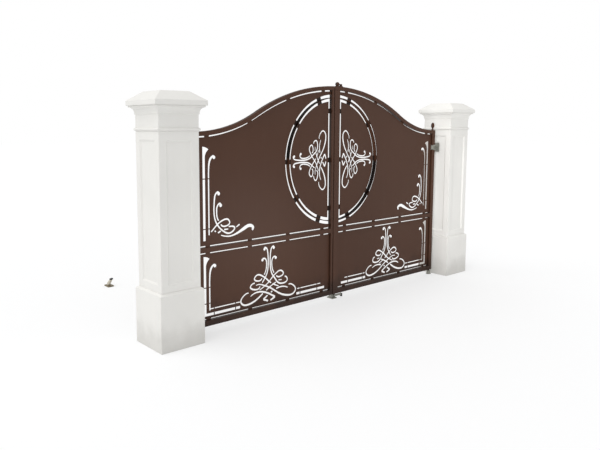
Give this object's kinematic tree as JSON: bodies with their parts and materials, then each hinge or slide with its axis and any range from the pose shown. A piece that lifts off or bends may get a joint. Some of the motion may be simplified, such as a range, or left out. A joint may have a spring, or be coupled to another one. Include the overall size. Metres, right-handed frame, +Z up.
{
  "type": "double swing driveway gate with pillars",
  "caption": "Double swing driveway gate with a bell-curved top, sheet infill cut with scrollwork and a round ring, hung between two square masonry pillars.",
  "frame": {"origin": "middle of the left pillar's foot, on the ground", "axes": "+X along the closed gate to the right pillar, +Y to the side the leaves open to, +Z up"},
  "size_m": [4.39, 2.274, 2.239],
  "materials": {
    "bronze_steel": "dull bronze-coloured steel",
    "galvanised": "dull galvanised steel",
    "gate_paint": "matt brown powder coat",
    "masonry": "smooth cast stone, lightly weathered",
    "rubber": "black rubber"
  },
  "bodies": {
    "pillars": {"centre_stop": "galvanised", "centre_stop_tip": "rubber", "left_cap": "masonry", "left_capital": "masonry", "left_ground_pivot": "galvanised", "left_hinge_plate": "galvanised", "left_holdback": "bronze_steel", "left_holdback_buffer": "rubber", "left_plinth": "masonry", "left_shaft": "masonry", "right_cap": "masonry", "right_capital": "masonry", "right_ground_pivot": "galvanised", "right_hinge_plate": "galvanised", "right_holdback": "bronze_steel", "right_holdback_buffer": "rubber", "right_plinth": "masonry", "right_shaft": "masonry"},
    "left_leaf": {"left_bottom_rail": "gate_paint", "left_hinge_stile": "gate_paint", "left_lower_sheet": "gate_paint", "left_meeting_stile": "gate_paint", "left_mid_rail": "gate_paint", "left_oval_sheet": "gate_paint", "left_ring": "gate_paint", "left_top_rail": "gate_paint", "left_upper_sheet": "gate_paint"},
    "right_leaf": {"right_bottom_rail": "gate_paint", "right_hinge_stile": "gate_paint", "right_lower_sheet": "gate_paint", "right_meeting_stile": "gate_paint", "right_mid_rail": "gate_paint", "right_oval_sheet": "gate_paint", "right_ring": "gate_paint", "right_top_latch": "gate_paint", "right_top_rail": "gate_paint", "right_upper_sheet": "gate_paint"}
  },
  "joints": [
    {"name": "left_leaf_swing", "type": "hinge", "parent": "pillars", "child": "left_leaf", "pos_m": [0.264, 0.011, 0], "axis": [0, 0, 1], "range_deg": [0, 90]},
    {"name": "right_leaf_swing", "type": "hinge", "parent": "pillars", "child": "right_leaf", "pos_m": [3.648, 0.011, 0], "axis": [0, 0, -1], "range_deg": [0, 90]}
  ]
}
